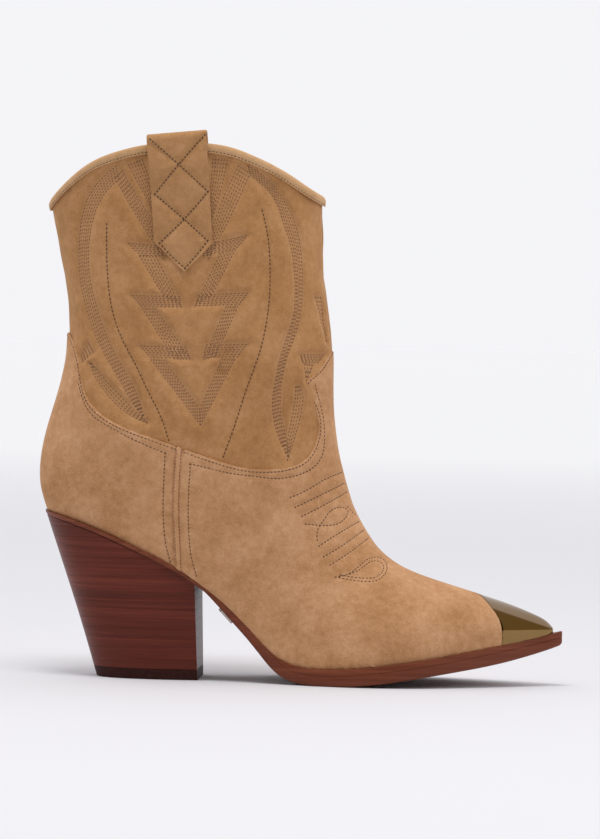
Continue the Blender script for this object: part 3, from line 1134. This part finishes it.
def heel_lift(name, low, high, edge):
    """One lift: a closed slab with rounded edges."""
    levels = [(low, edge), (low + edge * 0.35, edge * 0.25)]
    levels += [(height, 0) for height in np.linspace(low + edge, high - edge, 6)]
    levels += [(high - edge * 0.35, edge * 0.25), (high, edge)]
    rings = [heel_ring(height, inset) for height, inset in levels]
    points, wide = np.concatenate(rings), 120
    faces = [[k * wide + j, k * wide + (j + 1) % wide, (k + 1) * wide + (j + 1) % wide, (k + 1) * wide + j]
             for k in range(len(rings) - 1) for j in range(wide)]
    faces += [[j + 1, j, wide - 1 - j, wide - 2 - j] for j in range(wide // 2 - 1)]
    top = (len(rings) - 1) * wide
    faces += [[top + j, top + j + 1, top + wide - 2 - j, top + wide - 1 - j] for j in range(wide // 2 - 1)]
    return face_outward(new_object(name, points, faces, 35))


stacked_leather = edge_leather("stacked_heel_leather", ("#4A1B11", "#62291C", "#783829"), 0.38)
lift_thick = (HEEL_HIGH - TOP_LIFT) / LIFTS
tones = np.random.default_rng(11).uniform(-0.07, 0.07, LIFTS)
for number in range(LIFTS):
    low = TOP_LIFT + number * lift_thick
    lift = heel_lift(f"leather_lift_{number + 1:02d}", low, low + lift_thick, 0.12)
    tone = lift.data.attributes.new("tone", "FLOAT", "POINT")
    tone.data.foreach_set("value", [tones[number]] * len(lift.data.vertices))
    dress(lift, stacked_leather, "stacked_leather", f"heel_lift_{number + 1:02d}")


# ---- Top lift: the wearing piece under the heel, with six pins ----------------------------------
# Dense rubber, ground flush with the heel and stained dark at the edge. The pins are brass.
rubber, tree, shader, place = new_material("dark_brown_rubber")
speckle = node(tree, "ShaderNodeTexNoise", Vector=place, Scale=1 / (1.2 * MM), Detail=4.0)
tree.links.new(ramp(tree, speckle.outputs[0], (0.35, "#2E1612"), (0.65, "#3E201B")), shader.inputs["Base Color"])
bump = node(tree, "ShaderNodeBump", Strength=0.3, Distance=0.06 * MM, Height=speckle.outputs[0])
tree.links.new(bump.outputs[0], shader.inputs["Normal"])
shader.inputs["Roughness"].default_value = 0.55
shader.inputs["Specular IOR Level"].default_value = 0.1
top_lift = heel_lift("rubber_top_lift", 0, TOP_LIFT, 0.35)
dress(top_lift, rubber, "top_lift_rubber", "top_lift")

pins_group = bpy.data.node_groups.new("pins_on_points", "GeometryNodeTree")
pins_group.interface.new_socket("Places", in_out="INPUT", socket_type="NodeSocketGeometry")
pins_group.interface.new_socket("Radius", in_out="INPUT", socket_type="NodeSocketFloat").default_value = 1.1 * MM
pins_group.interface.new_socket("Depth", in_out="INPUT", socket_type="NodeSocketFloat").default_value = 8 * MM
pins_group.interface.new_socket("Metal", in_out="INPUT", socket_type="NodeSocketMaterial")
pins_group.interface.new_socket("Pins", in_out="OUTPUT", socket_type="NodeSocketGeometry")
inlet, outlet = pins_group.nodes.new("NodeGroupInput"), pins_group.nodes.new("NodeGroupOutput")
pin = node(pins_group, "GeometryNodeMeshCylinder", Vertices=24, Radius=inlet.outputs["Radius"],
           Depth=inlet.outputs["Depth"])
made = node(pins_group, "GeometryNodeInstanceOnPoints", Points=inlet.outputs["Places"],
            Instance=pin.outputs["Mesh"])
real = node(pins_group, "GeometryNodeRealizeInstances", Geometry=made.outputs[0])
painted = node(pins_group, "GeometryNodeSetMaterial", Geometry=real.outputs[0], Material=inlet.outputs["Metal"])
pins_group.links.new(painted.outputs[0], outlet.inputs[0])
brass = plain_material("brass_pins", "#B08A4A", "#97733A", 5, 0.35, 1.0)
pin_places = bpy.data.meshes.new("pin_places")
pin_places.from_pydata([(x * MM, y * MM, 3.99 * MM) for x, y in
                        [(-19, 0), (-8, 12), (-8, -12), (8, 14), (8, -14), (19, 0)]], [], [])
pin_source = bpy.data.objects.new("pin_places", pin_places)
bpy.context.scene.collection.objects.link(pin_source)
modifier = pin_source.modifiers.new("pins", "NODES")
modifier.node_group = pins_group
for item in pins_group.interface.items_tree:
    if item.name == "Metal":
        modifier[item.identifier] = brass
pin_mesh = bpy.data.meshes.new_from_object(pin_source.evaluated_get(bpy.context.evaluated_depsgraph_get()))
pins = bpy.data.objects.new("brass_top_lift_pins", pin_mesh)
bpy.context.scene.collection.objects.link(pins)
bpy.data.objects.remove(pin_source)
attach(pins, "root")
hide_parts("top_lift_nails")


# ---- Studio: pale floor, soft light, and the camera ---------------------------------------------
# A matt pale floor that runs back to the horizon, a large soft light above and in front, and a dark
# board far behind the camera that gives the polished metal something to mirror.
floor_material, tree, shader, place = new_material("pale_floor")
away = node(tree, "ShaderNodeVectorMath", {"operation": "LENGTH"}, i0=place)
near = node(tree, "ShaderNodeMapRange", Value=away.outputs["Value"])
near.inputs["From Max"].default_value = 4.0
tree.links.new(ramp(tree, near.outputs[0], (0.1, "#DCDBDE"), (1.0, "#FFFFFF")), shader.inputs["Base Color"])
shader.inputs["Roughness"].default_value = 0.9
shader.inputs["Specular IOR Level"].default_value = 0.1
floor_mesh = bpy.data.meshes.new("floor")
floor_mesh.from_pydata([(-30, -30, -0.0001), (30, -30, -0.0001), (30, 30, -0.0001), (-30, 30, -0.0001)], [],
                       [(0, 1, 2, 3)])
floor = bpy.data.objects.new("floor", floor_mesh)
bpy.context.scene.collection.objects.link(floor)
floor.data.materials.append(floor_material)

world = bpy.data.worlds.new("studio")
bpy.context.scene.world = world
world.use_nodes = True
world.node_tree.nodes["Background"].inputs["Color"].default_value = linear("#F8F8FB")
world.node_tree.nodes["Background"].inputs["Strength"].default_value = 0.97
bpy.context.scene.view_settings.view_transform = "Standard"


def soft_light(name, place, target, size, power, colour="#FFFFFF"):
    """A square area light aimed at a point."""
    lamp = bpy.data.lights.new(name, "AREA")
    lamp.size, lamp.energy, lamp.color = size, power, linear(colour)[:3]
    lamp_object = bpy.data.objects.new(name, lamp)
    lamp_object.location = place
    lamp_object.rotation_euler = (Vector(target) - Vector(place)).to_track_quat("-Z", "Y").to_euler()
    lamp_object.visible_glossy = False
    bpy.context.scene.collection.objects.link(lamp_object)


board_material, tree, shader, place = new_material("dark_board")
shader.inputs["Base Color"].default_value = linear("#2A2622")
shader.inputs["Roughness"].default_value = 0.9
board_mesh = bpy.data.meshes.new("dark_board")
board_mesh.from_pydata([(-3.5, -4.2, 0), (5, -4.2, 0), (5, -4.2, 3.3), (-3.5, -4.2, 3.3)], [], [(0, 1, 2, 3)])
board = bpy.data.objects.new("dark_board", board_mesh)
bpy.context.scene.collection.objects.link(board)
board.data.materials.append(board_material)

soft_light("key", (-0.05, -0.45, 1.7), (0.07, 0, 0.12), 0.5, 12)
soft_light("toe_light", (1.3, -0.8, 0.9), (0.12, 0, 0.06), 0.6, 2.5)

camera_data = bpy.data.cameras.new("camera")
camera_data.lens, camera_data.sensor_width = 200, 36
camera = bpy.data.objects.new("camera", camera_data)
bpy.context.scene.collection.objects.link(camera)
target = Vector((0.075, 0, 0.1342))
turn, distance, height = math.radians(3.2), 2.4, 0.186
fall = math.asin((height - target.z) / distance)
back = Vector((math.sin(turn) * math.cos(fall), -math.cos(turn) * math.cos(fall), math.sin(fall)))
camera.location = target + back * distance
camera.rotation_mode = "QUATERNION"
camera.rotation_quaternion = (-back).to_track_quat("-Z", "Y") @ Quaternion((0, 0, 1), math.radians(1.2))
camera_data.clip_start, camera_data.clip_end = 0.05, 100
bpy.context.scene.camera = camera
